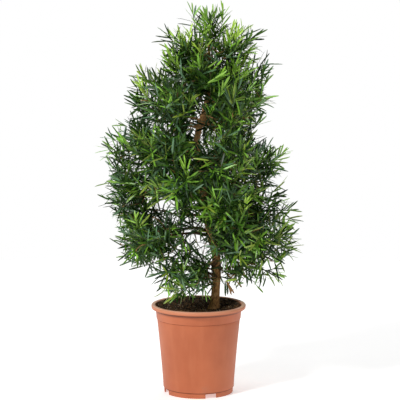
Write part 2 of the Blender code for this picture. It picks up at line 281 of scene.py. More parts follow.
potSettings = {
    "height": 0.226,
    "lipRadius": 0.120,
    "lipHeight": 0.0105,
    "lipRound": 0.0042,
    "lipPowers": (0.62, 0.8),  # how square the lip's section is, across and up
    "lipSteps": 8,
    "lipCorner": (0.0022, 0.0008, 0.0006),  # two steps in and one up, under the lip
    "mouthRadius": 0.1090,
    "collarRadius": 0.1093,
    "collarBottomRadius": 0.1070,
    "collarHeight": 0.0265,
    "collarStep": 0.0016,
    "collarEdge": (0.0006, 0.0010, 0.0018),  # heights over the wall, where its lower edge rounds off
    "collarRound": 0.0004,
    "fillet": 0.001,
    "groove": 0.0007,
    "baseRadius": 0.0900,
    "flare": 1.18,  # the wall opens a little more towards its top
    "wall": 0.0024,
    "footRadius": 0.0880,
    "footDraft": 0.0006,
    "footHeight": 0.0140,
    "footGroove": (0.0018, 0.0010, 0.0002),  # heights under the foot's top
    "footWall": 0.0035,
    "basePlate": 0.0030,
    "plateHole": 0.015,
    "innerRound": 0.002,
    "notches": 4,
    "firstNotch": 21.0,  # degrees round from the right
    "notchWidth": 0.029,
    "notchRound": 0.002,
    "sides": 128,
    "wallRings": 12,
    "edgeRound": 0.0005,
    "sharpEdge": 34.0,  # degrees, from which an edge is rounded
}


def potProfile(made):
    # from the hole in the base plate, down and up the outside, over the lip and down the inside
    lipBottom = made["height"] - made["lipHeight"]
    collarBottom = lipBottom - made["collarHeight"]
    footRadius, footHeight, wall = made["footRadius"], made["footHeight"], made["wall"]
    plateBottom = footHeight - made["basePlate"]
    stepRadius = made["collarBottomRadius"] - made["collarStep"]
    under, middle, over = made["footGroove"]
    outline = [
        (made["plateHole"], plateBottom),
        (footRadius - made["footWall"], plateBottom),
        (footRadius - made["footWall"], 0.0),
        (footRadius - made["footDraft"], 0.0),
        (footRadius, footHeight - under),
        (footRadius - made["groove"], footHeight - middle),
        (footRadius, footHeight - over),
    ]
    for k in range(made["wallRings"] + 1):
        share = k / made["wallRings"]
        radius = made["baseRadius"] + (stepRadius - made["baseRadius"]) * share ** made["flare"]
        outline.append((radius, footHeight + (collarBottom - footHeight) * share))
    under, middle, over = made["collarEdge"]
    wideCorner, narrowCorner, cornerRise = made["lipCorner"]
    outline += [
        (stepRadius - made["groove"], collarBottom + under),
        (made["collarBottomRadius"] - made["collarRound"], collarBottom + middle),
        (made["collarBottomRadius"], collarBottom + over),
        (made["collarRadius"], lipBottom - made["fillet"]),
        (made["collarRadius"] + made["fillet"], lipBottom),
        (made["lipRadius"] - wideCorner, lipBottom),
        (made["lipRadius"] - narrowCorner, lipBottom + cornerRise),
    ]
    half = (made["lipRadius"] - made["mouthRadius"]) / 2
    crest = made["mouthRadius"] + half
    across, up = made["lipPowers"]
    for k in range(made["lipSteps"] + 1):  # over the lip, from its outer side to its inner side
        turn = math.pi * k / made["lipSteps"]
        reach = math.copysign(abs(math.cos(turn)) ** across, math.cos(turn)) * half
        outline.append((crest + reach, made["height"] - made["lipRound"] * (1 - math.sin(turn) ** up)))
    outline += [
        (made["collarRadius"] - wall, lipBottom),
        (stepRadius - wall, collarBottom),
        (made["baseRadius"] - wall, footHeight + made["innerRound"]),
        (made["baseRadius"] - wall - made["innerRound"], footHeight),
        (made["plateHole"], footHeight),
    ]
    return outline


def makePot():
    made = potSettings
    pot = turned("pot_shell", potProfile(made), made["sides"])
    notchTop = made["footHeight"] - made["basePlate"]
    reach = made["footRadius"] - made["footWall"] / 2
    for k in range(made["notches"]):
        turn = math.radians(made["firstNotch"]) + math.tau * k / made["notches"]
        deselectAll()
        bpy.ops.mesh.primitive_cube_add(
            size=1,
            location=(reach * math.cos(turn), reach * math.sin(turn), 0),
            rotation=(0, 0, turn),
            scale=(made["footWall"] * 4, made["notchWidth"], notchTop * 2),
        )
        cutter = bpy.context.object
        applyPlace(cutter)
        withModifier(cutter, "BEVEL", width=made["notchRound"], segments=3, limit_method="ANGLE")
        withModifier(pot, "BOOLEAN", operation="DIFFERENCE", object=cutter, solver="EXACT")
        bpy.data.objects.remove(cutter)
    sharp = math.radians(made["sharpEdge"])
    withModifier(
        pot, "BEVEL", width=made["edgeRound"], segments=2, limit_method="ANGLE", angle_limit=sharp
    )
    smoothShade(pot, 38)
    return pot


def potPlastic(place):
    height, across = place.axis("Z"), abs(place.axis("X"))
    streaks = place.stretched(0.16).noiseField(46.0, 5.0)
    clouds = place.noiseField(9.0, 4.0)
    grain = place.noiseField(900.0, 2.0)
    dustField = place.noiseField(30.0, 8.0, 0.7)
    scuffs = place.noiseField(140.0, 6.0, 0.65)
    base = clouds.between(0.35, 0.65).colours((0.480, 0.123, 0.046), (0.556, 0.152, 0.060))
    base = (streaks.between(0.40, 0.75) * 0.35).colours(base, (0.600, 0.195, 0.088))
    lipHighlight = height.between(0.2150, 0.2215) * 0.65  # painted highlight: the lip is painted paler, as where light falls on it and comes through the thin plastic
    base = lipHighlight.colours(base, (0.72, 0.295, 0.160))
    # painted highlight: the lip's top is painted pale cream, most on its left and right sides
    crest = height.between(0.2232, 0.2256) * (across.between(0.080, 0.116) * 0.60 + 0.40)
    base = crest.colours(base, (0.93, 0.58, 0.42))
    paintedShade = 0  # painted shade: dark lines under the lip, under the collar and over the foot ring, where shadow falls
    for line, half, share in ((0.2132, 0.0048, 0.95), (0.1890, 0.0011, 0.35), (0.0130, 0.0017, 0.9)):
        paintedShade = paintedShade + abs(height - line).between(half, half * 0.2) * share
    base = paintedShade.colours(base, (0.190, 0.058, 0.028))
    dust = dustField.between(0.52, 0.78) * height.between(0.055, 0.0) * 0.55
    base = dust.colours(base, (0.36, 0.20, 0.13))
    rough = 0.42 + streaks * 0.16 + dust * 0.3
    relief = grain * 0.25 + scuffs * 0.5 + clouds * 0.6
    return {"Base Color": base, "Roughness": rough, "Normal": relief.bump(0.22, 0.0006)}


potMaterial = newMaterial("pot_plastic_satin", potPlastic, Specular_IOR_Level=0.40)
finished(makePot(), "pot_shell", "pot_plastic", ["pot"], potMaterial)


# Soil: a lumpy bed with crumbs and pale grit on it

soilSettings = {
    "level": 0.2172,
    "radius": 0.1046,  # to the inside of the wall at that height
    "bottomRadius": 0.0868,
    "bottom": 0.0146,
    "heap": 0.0088,  # how much higher the soil stands at the wall
    "lump": 0.0036,
    "rings": 26,
    "sides": 96,
    "strewnTo": 0.975,  # share of the radius that crumbs and grit lie in
    "smallBias": 2.6,
    "crumbs": {"seed": 1, "count": 1800, "sizes": (0.0014, 0.0056), "flat": 0.75, "sink": 0.22},
    "grit": {"seed": 2, "count": 260, "sizes": (0.0011, 0.0029), "flat": 0.6, "sink": 0.42},
    "variants": 3,
    "seed": 5,
}


def soilHeight(x, y):
    made = soilSettings
    far = math.hypot(x, y) / made["radius"]
    lump = noise.fractal((x * 34, y * 34, 2.0), 0.8, 2.1, 5) * made["lump"]
    return made["level"] + made["heap"] * far**4 + lump * (1 - 0.4 * far**6)


def makeSoilBed():
    made = soilSettings
    profile = [(0.002, made["level"])]
    for k in range(1, made["rings"] + 1):
        profile.append((made["radius"] * k / made["rings"], made["level"]))
    profile += [(made["bottomRadius"], made["bottom"]), (0.01, made["bottom"])]
    bed = turned("soil_bed", profile, made["sides"])
    for vertex in bed.data.vertices:
        if vertex.co.z > made["level"] - 0.001:
            vertex.co.z = soilHeight(vertex.co.x, vertex.co.y)
    smoothShade(bed, 60)
    return bed


def makeCrumbModel(seed, flat):
    deselectAll()
    bpy.ops.mesh.primitive_ico_sphere_add(subdivisions=1, radius=0.5)
    crumb = bpy.context.object
    editAll()
    bpy.ops.transform.vertex_random(offset=0.14, uniform=0.8, seed=seed)
    bpy.ops.transform.resize(value=(1.0, 0.8, flat))
    bpy.ops.object.mode_set(mode="OBJECT")
    crumb.name = "crumb_model"
    return crumb


def meshFrom(name, places, corners):
    # a joined mesh of triangles from arrays
    mesh = bpy.data.meshes.new(name)
    mesh.vertices.add(len(places))
    mesh.vertices.foreach_set("co", places.astype(np.float32).ravel())
    mesh.loops.add(corners.size)
    mesh.loops.foreach_set("vertex_index", corners.astype(np.int32).ravel())
    mesh.polygons.add(len(corners))
    mesh.polygons.foreach_set("loop_start", np.arange(0, corners.size, 3, dtype=np.int32))
    mesh.update(calc_edges=True)
    mesh.validate()
    piece = bpy.data.objects.new(name, mesh)
    bpy.context.scene.collection.objects.link(piece)
    return piece


def copies(local, corners, origins, across, along, upward):
    # every copy of a model: its x, y and z follow across, along and upward
    places = origins[:, None] + local[..., 0:1] * across[:, None]
    places = places + local[..., 1:2] * along[:, None] + local[..., 2:3] * upward[:, None]
    shift = np.arange(len(origins))[:, None, None] * local.shape[1]
    return places.reshape(-1, 3), (corners[None] + shift).reshape(-1, 3)


def randomFrames(rng, count):
    across = units(rng.normal(size=(count, 3)))
    along = units(np.cross(across, rng.normal(size=(count, 3))))
    return across, along, np.cross(across, along)


def strewn(rng, count, sizes, sink):
    # places on the soil, sizes weighted to the small end
    made = soilSettings
    far = made["radius"] * made["strewnTo"] * np.sqrt(rng.random(count))
    turn = rng.random(count) * math.tau
    size = sizes[0] + (sizes[1] - sizes[0]) * rng.random(count) ** made["smallBias"]
    x, y = far * np.cos(turn), far * np.sin(turn)
    z = np.array([soilHeight(a, b) for a, b in zip(x, y)]) + size * sink
    return np.stack((x, y, z), 1), size


def makeSoilBits(name, bits, material):
    rng = np.random.default_rng(soilSettings["seed"] + bits["seed"])
    parts = []
    for variant in range(soilSettings["variants"]):
        model = makeCrumbModel(bits["seed"] * 7 + variant, bits["flat"])
        count = bits["count"] // soilSettings["variants"]
        origins, size = strewn(rng, count, bits["sizes"], bits["sink"])
        local = pointsOf(model.data)[None] * size[:, None, None]
        places, corners = copies(local, cornersOf(model.data), origins, *randomFrames(rng, count))
        parts.append(meshFrom(name, places, corners))
        bpy.data.objects.remove(model)
    finished(joined(parts, name), name, "soil", ["soil"], material)


def soilEarth(place):
    clods = place.noiseField(110.0, 8.0, 0.72)
    damp = place.noiseField(14.0, 3.0)
    base = clods.between(0.42, 0.70).colours((0.0100, 0.0062, 0.0025), (0.260, 0.135, 0.050))
    base = (damp.between(0.45, 0.62) * 0.5).colours(base, (0.022, 0.0150, 0.0075))
    return {"Base Color": base, "Roughness": 0.86 + clods * 0.1, "Normal": clods.bump(0.8, 0.0016)}


def gritStone(place):
    tone = place.noiseField(320.0, 2.0)
    base = tone.between(0.40, 0.62).colours((0.22, 0.170, 0.105), (0.66, 0.57, 0.42))
    return {"Base Color": base, "Roughness": 0.7 + tone * 0.2}


soilMaterial = newMaterial("soil_earth", soilEarth, Specular_IOR_Level=0.25)
gritMaterial = newMaterial("soil_grit", gritStone, Specular_IOR_Level=0.3)
finished(makeSoilBed(), "soil_bed", "soil", ["soil"], soilMaterial)
makeSoilBits("soil_crumbs", soilSettings["crumbs"], soilMaterial)
makeSoilBits("soil_grit", soilSettings["grit"], gritMaterial)


# Bark: the trunk and the boughs, on the middle lines of their CAD nodes

barkSettings = {
    "slice": 0.008,  # between two sections of the trunk
    "boughSlices": 9,
    "boughShares": (0.10, 0.96),  # where a bough's first and last section are
    "boughFoot": 0.012,  # from a bough's first section to the trunk's middle line
    "boughEnd": 0.003,
    "rootDepth": 0.012,
    "collarFlare": 0.14,
    "collarLength": 0.009,
    "voxel": 0.00115,
    "sampleStep": 0.003,
    "ridge": 0.00140,  # height of the relief on the trunk's lower part
    "ridgeRadius": 0.0115,  # the limb's radius that has the whole relief
    "stub": {"at": 0.297, "way": (-1.0, -0.35, 0.42), "length": 0.026, "radius": 0.0036, "rise": 0.004},
    "footFlare": {"height": 0.030, "lift": 0.0006, "roots": 3},
    "knot": {"at": 0.322, "way": (-0.75, -0.65), "size": 0.011, "lift": 0.0028},
}


def sliceOf(points, corners, place, way):
    # middle and mean radius of a node's section
    heights = (points - place) @ way
    cut = []
    for a, b in ((0, 1), (1, 2), (2, 0)):
        first, second = corners[:, a], corners[:, b]
        crosses = heights[first] * heights[second] < 0
        first, second = first[crosses], second[crosses]
        share = heights[first] / (heights[first] - heights[second])
        cut.append(points[first] + share[:, None] * (points[second] - points[first]))
    cut = np.concatenate(cut)
    if len(cut) < 6:
        return None
    middle = (cut.min(0) + cut.max(0)) / 2
    return middle, np.linalg.norm(cut - middle, axis=1).mean()


def trunkCourse():
    made = barkSettings
    points, corners = pointsOf(nodes["trunk"].data), cornersOf(nodes["trunk"].data)
    low, high = points[:, 2].min(), points[:, 2].max()
    found = []
    for height in np.arange(low + 0.0005, high - 0.0004, made["slice"]):
        found.append(sliceOf(points, corners, np.array((0, 0, height)), upWay))
    line, radii = np.array([p for p, _ in found]), np.array([r for _, r in found])
    root = line[0] + unit(line[0] - line[2]) * made["rootDepth"]
    return np.vstack((root, line)), np.concatenate(([radii[0]], radii))


trunkLine, trunkRadii = trunkCourse()


def boughCourse(name):
    # from the trunk's middle line to the flat end of the bough's node
    made = barkSettings
    points, corners = pointsOf(nodes[name].data), cornersOf(nodes[name].data)
    away = np.linalg.norm(points[:, None, :2] - trunkLine[None, :, :2], axis=2).min(1)
    near = points[away <= np.quantile(away, 0.12)].mean(0)
    far = points[away >= np.quantile(away, 0.9)].mean(0)
    way = unit(far - near)
    along = (points - near) @ way
    line, radii = [], []
    for share in np.linspace(*made["boughShares"], made["boughSlices"]):
        cut = sliceOf(points, corners, near + way * along.max() * share, way)
        if cut:
            line.append(cut[0])
            radii.append(cut[1])
    line, radii = np.array(line), np.array(radii)
    inward = unit(line[0] - line[1])
    near = line[0] + inward * made["boughFoot"]
    foot = trunkLine[np.argmin(np.linalg.norm(trunkLine - near, axis=1))]
    tip = line[-1] + unit(line[-1] - line[-2]) * made["boughEnd"]
    line = np.vstack((foot, line, tip))
    radii = np.concatenate(([radii[0]], radii, [radii[-1]]))
    flare = made["collarFlare"] * np.exp(-((runOf(line) / made["collarLength"]) ** 2) * 0.35)
    return line, radii * (1 + flare)


boughLines = {name: boughCourse(name) for name in boughNames}


def limbTubes(name, courses, resolution):
    # a tapering tube with closed ends along each (points, radii) course
    curve = bpy.data.curves.new(name, "CURVE")
    curve.dimensions = "3D"
    curve.bevel_depth = 1.0
    curve.bevel_resolution = resolution
    curve.use_fill_caps = True
    for line, radii in courses:
        spline = curve.splines.new("POLY")
        spline.points.add(len(line) - 1)
        places = np.hstack((line, np.ones((len(line), 1))))
        spline.points.foreach_set("co", places.ravel())
        spline.points.foreach_set("radius", np.asarray(radii, float))
    tubes = bpy.data.objects.new(name, curve)
    bpy.context.scene.collection.objects.link(tubes)
    pick(tubes)
    bpy.ops.object.convert(target="MESH")
    editAll()
    bpy.ops.mesh.remove_doubles(threshold=0.00001)
    leaveEdit()
    return bpy.context.object


def trunkAt(height):
    heights = trunkLine[:, 2]
    return onLine(trunkLine, heights, height), np.interp(height, heights, trunkRadii)


def stubCourse():
    # a short dead stub on the trunk, that turns up a little
    stub = barkSettings["stub"]
    foot, _ = trunkAt(stub["at"])
    way = unit(np.array(stub["way"]))
    steps = np.linspace(0, 1, 6)
    line = foot + steps[:, None] * way * stub["length"] + (steps**2)[:, None] * upWay * stub["rise"]
    return line, stub["radius"] * (1.5 - 0.75 * steps)


def barkRelief(bark, courses):
    # vertices move out and in along the limb's own radius, in ridges that run along it
    made, knot, flare = barkSettings, barkSettings["knot"], barkSettings["footFlare"]
    samples, isTrunk = [], []
    for k, (line, radii) in enumerate(courses):
        run = runOf(line)
        for s in np.arange(0, run[-1], made["sampleStep"]):
            way = onLine(line, run, s + lookAhead) - onLine(line, run, s - lookAhead)
            samples.append((onLine(line, run, s), unit(way), s, np.interp(s, run, radii)))
            isTrunk.append(k == 0)
    tree = KDTree(len(samples))
    for k, (place, _, _, _) in enumerate(samples):
        tree.insert(place, k)
    tree.balance()
    knotMiddle, _ = trunkAt(knot["at"])
    knotWay = unit(np.array((*knot["way"], 0.0)))
    grain = np.zeros((len(bark.data.vertices), 3))
    limb = np.zeros(len(bark.data.vertices))  # 0 on the trunk, 1 on a bough
    for vertex in bark.data.vertices:
        spot = np.array(vertex.co)
        _, k, _ = tree.find(vertex.co)
        middle, way, run, _ = samples[k]
        side = np.array((1.0, 0, 0)) if isTrunk[k] else upWay
        side = unit(side - way * (side @ way))
        out = spot - middle
        out = out - way * (out @ way)
        radius = np.linalg.norm(out)
        out = out / max(radius, 1e-6)
        a, b = out @ side, out @ np.cross(way, side)
        fine = noise.noise((a * radius * 430, b * radius * 430, run * 42))
        broad = noise.noise((a * radius * 170 + 9, b * radius * 170, run * 16))
        flakes = 1 - 2 * abs(noise.noise((a * radius * 300 + 4, b * radius * 300, run * 26 + 5)))
        depth = made["ridge"] * min(1.0, radius / made["ridgeRadius"]) ** 1.2
        lift = depth * (0.55 * fine + 0.7 * broad + 0.35 * flakes - 0.25)
        if isTrunk[k]:
            foot = max(0.0, 1 - (spot[2] - soilSettings["level"]) / flare["height"])
            lift += foot**2 * flare["lift"] * max(0.0, math.sin(flare["roots"] * math.atan2(b, a) + 0.6))
            toKnot = spot - knotMiddle
            bulge = np.exp(-((toKnot[2] / knot["size"]) ** 2)) * max(0.0, out @ knotWay) ** 2
            lift += bulge * knot["lift"]
        vertex.co = Vector(spot + out * lift)
        grain[vertex.index] = (a * radius, b * radius, run)
        limb[vertex.index] = 0.0 if isTrunk[k] else 1.0
    attribute = bark.data.attributes.new("grain", "FLOAT_VECTOR", "POINT")
    attribute.data.foreach_set("vector", grain.astype(np.float32).ravel())
    bark.data.attributes.new("limb", "FLOAT", "POINT").data.foreach_set("value", limb.astype(np.float32))


def makeBark():
    courses = [(trunkLine, trunkRadii), stubCourse(), *boughLines.values()]
    bark = limbTubes("bark", courses, 5)
    withModifier(bark, "REMESH", mode="VOXEL", voxel_size=barkSettings["voxel"])
    withModifier(bark, "SMOOTH", factor=0.5, iterations=3)
    barkRelief(bark, courses)
    smoothShade(bark, 180)
    return bark


def barkWood(place):
    height = place.axis("Z")
    along = place.node("Attribute", {"attribute_name": "grain"}, None, "Vector").stretched(0.20)
    fibres = along.noiseField(520.0, 6.0, 0.65)
    flakes = along.node("TexVoronoi", None, {"Vector": along, "Scale": 260.0, "Randomness": 1.0})
    patches = place.noiseField(46.0, 5.0)
    base = fibres.between(0.34, 0.66).colours((0.085, 0.040, 0.012), (0.450, 0.238, 0.078))
    # the upper bark is orange-brown, and is painted brighter than its own colour as painted light where the
    # crown shades it
    rustAndPaintedLight = fibres.between(0.36, 0.70).colours((0.700, 0.340, 0.130), (1.000, 0.640, 0.300))
    upper = height.between(0.40, 0.66) * 0.75 + patches.between(0.50, 0.70) * 0.30
    base = upper.colours(base, rustAndPaintedLight)
    grey = patches.between(0.56, 0.74) * (1 - height.between(0.30, 0.50)) * 0.45
    base = grey.colours(base, (0.300, 0.225, 0.105))
    limb = place.node("Attribute", {"attribute_name": "limb"}, None, "Fac")
    shaded = limb * (1 - height.between(0.42, 0.60)) * 0.88
    base = shaded.colours(base, (0.040, 0.026, 0.011))
    relief = fibres * 0.8 + flakes * 0.5
    return {"Base Color": base, "Roughness": 0.78 + fibres * 0.18, "Normal": relief.bump(0.9, 0.0018)}


barkMaterial = newMaterial("bark_fibrous", barkWood, Specular_IOR_Level=0.25)
finished(makeBark(), "bark", "bark", ["trunk", *boughNames], barkMaterial)


# Crown: where shoots may stand, worked out from the masses

growth = {
    "seed": 23,
    "skinArea": 0.00310,  # of a mass's open surface for each shoot that ends under it
    "upperDensity": 1.25,  # how much closer the shoots stand in the masses over upperFrom
    "upperFrom": 0.74,
    "litresPerShoot": 0.56,  # of a mass for each shoot further in
    "boughGap": 0.027,  # between two shoots that leave a bough
    "boughShoot": (0.030, 0.060),
    "candidates": 9,
    "shootShare": 0.3,  # no shoot stands where fewer leaves would stay
    "reach": 0.026,  # from a shoot's tip to the surface that its last leaves end at
    "overshoot": 0.012,  # how far a leaf may pass the surface
    "stray": 0.012,  # how far a stem may
    "shootLength": (0.055, 0.105),
    "wander": 0.28,
    "turnUp": 0.45,  # how much a shoot's end turns up
    "detour": 0.32,  # what a longer way back to the trunk costs against a longer twig
    "tipRadius": 0.00085,
    "forkPower": 0.40,
    "thickest": 0.0024,
}

# Openings that the crown keeps, as seen from the front: middle x and height, half width, half height,
# and the share of the leaves there that still cross it
openings = [
    (-0.024, 0.421, 0.026, 0.0085, 0.42), (-0.011, 0.393, 0.020, 0.0080, 0.14),
    (0.007, 0.365, 0.011, 0.0100, 0.10), (-0.067, 0.447, 0.016, 0.0080, 0.35),
    (-0.082, 0.482, 0.026, 0.0080, 0.06), (-0.012, 0.666, 0.008, 0.0150, 0.10),
    (-0.040, 0.696, 0.007, 0.0130, 0.15), (-0.082, 0.680, 0.006, 0.0110, 0.15),
    (0.001, 0.742, 0.009, 0.0110, 0.15), (0.028, 0.860, 0.010, 0.0150, 0.15),
    (0.155, 0.669, 0.014, 0.0220, 0.08), (0.161, 0.535, 0.012, 0.0070, 0.40),
    (-0.201, 0.722, 0.024, 0.0290, 0.05), (-0.242, 0.462, 0.012, 0.0200, 0.10),
    (-0.052, 0.265, 0.008, 0.0090, 0.10), (-0.017, 0.261, 0.013, 0.0080, 0.10),
    (0.119, 0.248, 0.028, 0.0200, 0.05), (-0.247, 0.560, 0.017, 0.0300, 0.08),
    (-0.249, 0.522, 0.012, 0.0180, 0.15), (-0.220, 0.360, 0.020, 0.0380, 0.12),
    (-0.192, 0.310, 0.015, 0.0160, 0.12), (-0.164, 0.293, 0.028, 0.0210, 0.08),
    (0.245, 0.515, 0.016, 0.0240, 0.10), (0.237, 0.572, 0.016, 0.0250, 0.15),
    (0.180, 0.512, 0.016, 0.0130, 0.15), (0.186, 0.323, 0.019, 0.0170, 0.08),
    (0.238, 0.320, 0.018, 0.0260, 0.10), (0.150, 0.262, 0.018, 0.0120, 0.60),
    (0.186, 0.262, 0.022, 0.0170, 0.10), (0.188, 0.777, 0.017, 0.0230, 0.08),
    (0.190, 0.722, 0.016, 0.0200, 0.12), (-0.202, 0.778, 0.018, 0.0300, 0.15),
    (-0.130, 0.268, 0.016, 0.0200, 0.12), (0.181, 0.364, 0.018, 0.0200, 0.35),
    (-0.109, 0.756, 0.036, 0.0360, 0.55), (-0.090, 0.681, 0.045, 0.0340, 0.52),
    (0.041, 0.831, 0.034, 0.0340, 0.48), (0.116, 0.735, 0.036, 0.0480, 0.48),
    (0.117, 0.575, 0.036, 0.0500, 0.52), (-0.096, 0.453, 0.040, 0.0300, 0.75),
    (-0.186, 0.388, 0.028, 0.0260, 0.70), (0.194, 0.388, 0.030, 0.0320, 0.70),
    (0.116, 0.302, 0.034, 0.0280, 0.70), (-0.125, 0.242, 0.022, 0.0200, 0.05),
]
# The same before the trunk, where what stands behind it stays
frontOpenings = [
    (0.046, 0.620, 0.040, 0.0520, 0.45), (0.009, 0.692, 0.010, 0.0380, 0.13),
    (-0.016, 0.700, 0.024, 0.0320, 0.60), (0.021, 0.755, 0.016, 0.0190, 0.12),
    (0.008, 0.513, 0.006, 0.0140, 0.30), (0.016, 0.465, 0.010, 0.0140, 0.30),
    (0.044, 0.290, 0.017, 0.0660, 0.12),
]

# Young shoots that the crown shows: tip x and height as seen from the front, depth behind the middle,
# and whether they are pale lime or spring green
youngTips = [
    (-0.046, 0.906, -0.030, "lime"), (-0.062, 0.901, -0.010, "lime"), (-0.034, 0.904, -0.050, "lime"),
    (-0.024, 0.910, -0.020, "lime"), (-0.069, 0.857, -0.055, "spring"), (-0.078, 0.843, -0.040, "spring"),
    (0.117, 0.928, -0.020, "lime"), (0.098, 0.912, -0.045, "lime"), (0.094, 0.940, 0.010, "lime"),
    (0.062, 0.957, 0.000, "spring"), (0.123, 0.824, -0.050, "spring"), (0.109, 0.808, -0.075, "spring"),
    (0.097, 0.836, -0.060, "spring"), (0.108, 0.922, -0.060, "lime"), (0.084, 0.918, -0.030, "lime"),
    (0.012, 0.896, -0.075, "lime"), (0.038, 0.832, -0.090, "spring"), (-0.142, 0.777, -0.040, "lime"),
    (-0.082, 0.755, -0.130, "spring"), (-0.182, 0.591, -0.100, "spring"), (0.118, 0.482, -0.170, "lime"),
    (-0.034, 0.573, -0.190, "spring"), (0.217, 0.617, -0.010, "spring"), (0.218, 0.427, -0.020, "spring"),
    (-0.173, 0.452, -0.090, "spring"), (-0.122, 0.667, -0.130, "spring"),
]

# Tips of the shoots beyond or between the masses' surfaces, in the same measures
looseTips = [
    (-0.216, 0.646, -0.030), (-0.224, 0.622, 0.010), (-0.208, 0.600, -0.060), (-0.228, 0.492, -0.020),
    (-0.216, 0.506, 0.015), (-0.206, 0.480, -0.050), (0.024, 0.655, 0.060), (0.022, 0.690, 0.085),
    (0.036, 0.672, 0.030), (0.160, 0.815, -0.020), (0.165, 0.832, 0.015), (0.162, 0.800, -0.050),
    (-0.066, 0.868, -0.030), (0.206, 0.486, -0.040), (0.226, 0.466, 0.015), (0.228, 0.444, -0.040),
    (0.228, 0.394, -0.010), (0.216, 0.374, -0.050), (-0.076, 0.814, -0.050), (-0.066, 0.834, -0.010),
    (-0.052, 0.806, -0.090), (-0.075, 0.902, -0.020), (-0.014, 0.958, 0.000), (0.046, 0.954, -0.010),
    (0.142, 0.902, -0.010), (0.232, 0.372, 0.010), (0.205, 0.318, -0.030), (-0.168, 0.338, -0.040),
    (-0.152, 0.320, -0.070), (-0.176, 0.350, 0.015), (-0.156, 0.330, 0.030), (-0.196, 0.372, -0.030),
    (0.014, 0.300, 0.015), (-0.004, 0.322, 0.000), (0.004, 0.276, 0.020), (0.168, 0.545, -0.040),
    (0.175, 0.470, -0.050), (0.200, 0.455, 0.000), (0.185, 0.440, 0.040), (0.222, 0.360, -0.030),
    (-0.020, 0.420, -0.045), (-0.050, 0.345, 0.020), (0.156, 0.690, -0.030), (-0.030, 0.362, -0.020),
    (-0.014, 0.345, -0.045), (0.006, 0.335, -0.010), (0.012, 0.318, 0.030), (-0.008, 0.309, -0.025),
    (-0.038, 0.335, -0.050), (0.000, 0.384, 0.020), (-0.046, 0.390, 0.030), (0.012, 0.284, 0.012),
    (-0.002, 0.289, -0.020), (0.014, 0.262, 0.020), (0.006, 0.262, -0.010),
]

# A short low twig on the trunk itself, and the old leaves that hang from it:
# how far past the twig's tip, the way they hang, length share, tint
lowTwig = {
    "tip": (0.0680, 0.2840, -0.070),
    "way": (0.95, -0.25, -0.15),
    "face": (0.35, -1.0, 0.2),
    "width": 1.15,
    "bend": 0.12,
    "leaves": [
        (-0.001, (0.06, -0.15, -1.00), 0.80, "deep"),
        (0.004, (0.10, -0.10, -1.00), 0.70, "shade"),
        (0.006, (0.30, -0.20, -0.94), 0.72, "dry"),
        (0.001, (0.58, -0.20, -0.76), 0.78, "dry"),
        (0.000, (0.85, -0.10, 0.15), 0.60, "olive"),
    ],
}

# Old pale leaves that curl down to the soil, each on the nearest stem: place and the way it leaves
curled = {
    "face": (0.9, -0.75, 0.1),
    "length": 0.60,
    "width": 0.75,
    "bend": 0.62,
    "leaves": [
        ((-0.086, 0.262, -0.060), (-0.55, -0.30, -0.75)),
        ((-0.070, 0.260, -0.080), (-0.15, -0.30, -0.90)),
        ((-0.052, 0.260, -0.070), (0.30, -0.30, -0.85)),
        ((-0.036, 0.262, -0.060), (-0.30, -0.25, -0.90)),
        ((-0.020, 0.258, -0.050), (0.45, -0.20, -0.80)),
        ((-0.002, 0.262, -0.040), (0.10, -0.30, -0.95)),
    ],
}

# A gap that lets light in to the trunk's upper part, from the left, front and top
lightWell = {"foot": (0.008, 0.0, 0.69), "way": (-0.52, -0.56, 0.65), "radius": 0.028, "share": 0.40}

gapRows = np.array(openings + frontOpenings)
eye = np.array(cameraSettings["place"])


def seenAt(points):
    # where points show against the upright plane through the pot's middle
    share = (0 - eye[1]) / (points[:, 1] - eye[1])
    return eye[0] + (points[:, 0] - eye[0]) * share, eye[2] + (points[:, 2] - eye[2]) * share


def fromSeen(x, height, depth):
    share = (depth - eye[1]) / (0 - eye[1])
    return np.array((eye[0] + (x - eye[0]) * share, depth, eye[2] + (height - eye[2]) * share))


def openShare(points, margin=1.0):
    # the share of leaves that stays at each point, 1 outside every opening
    points = np.atleast_2d(points)
    x, height = seenAt(points)
    middleX, middleHeight, halfWidth, halfHeight, share = gapRows.T
    across = (x[:, None] - middleX) / (halfWidth * margin)
    up = (height[:, None] - middleHeight) / (halfHeight * margin)
    before = points[:, 1] < np.interp(points[:, 2], trunkLine[:, 2], trunkLine[:, 1])
    hit = (across**2 + up**2 < 1) & (before[:, None] | (np.arange(len(gapRows)) < len(openings)))
    kept = np.where(hit, share, 1.0).min(1)
    way = unit(np.array(lightWell["way"]))
    run = (points - lightWell["foot"]) @ way
    away = np.linalg.norm(points - lightWell["foot"] - run[:, None] * way, axis=1)
    hit = (run > 0) & (away < lightWell["radius"])
    return np.where(hit, np.minimum(kept, lightWell["share"]), kept)


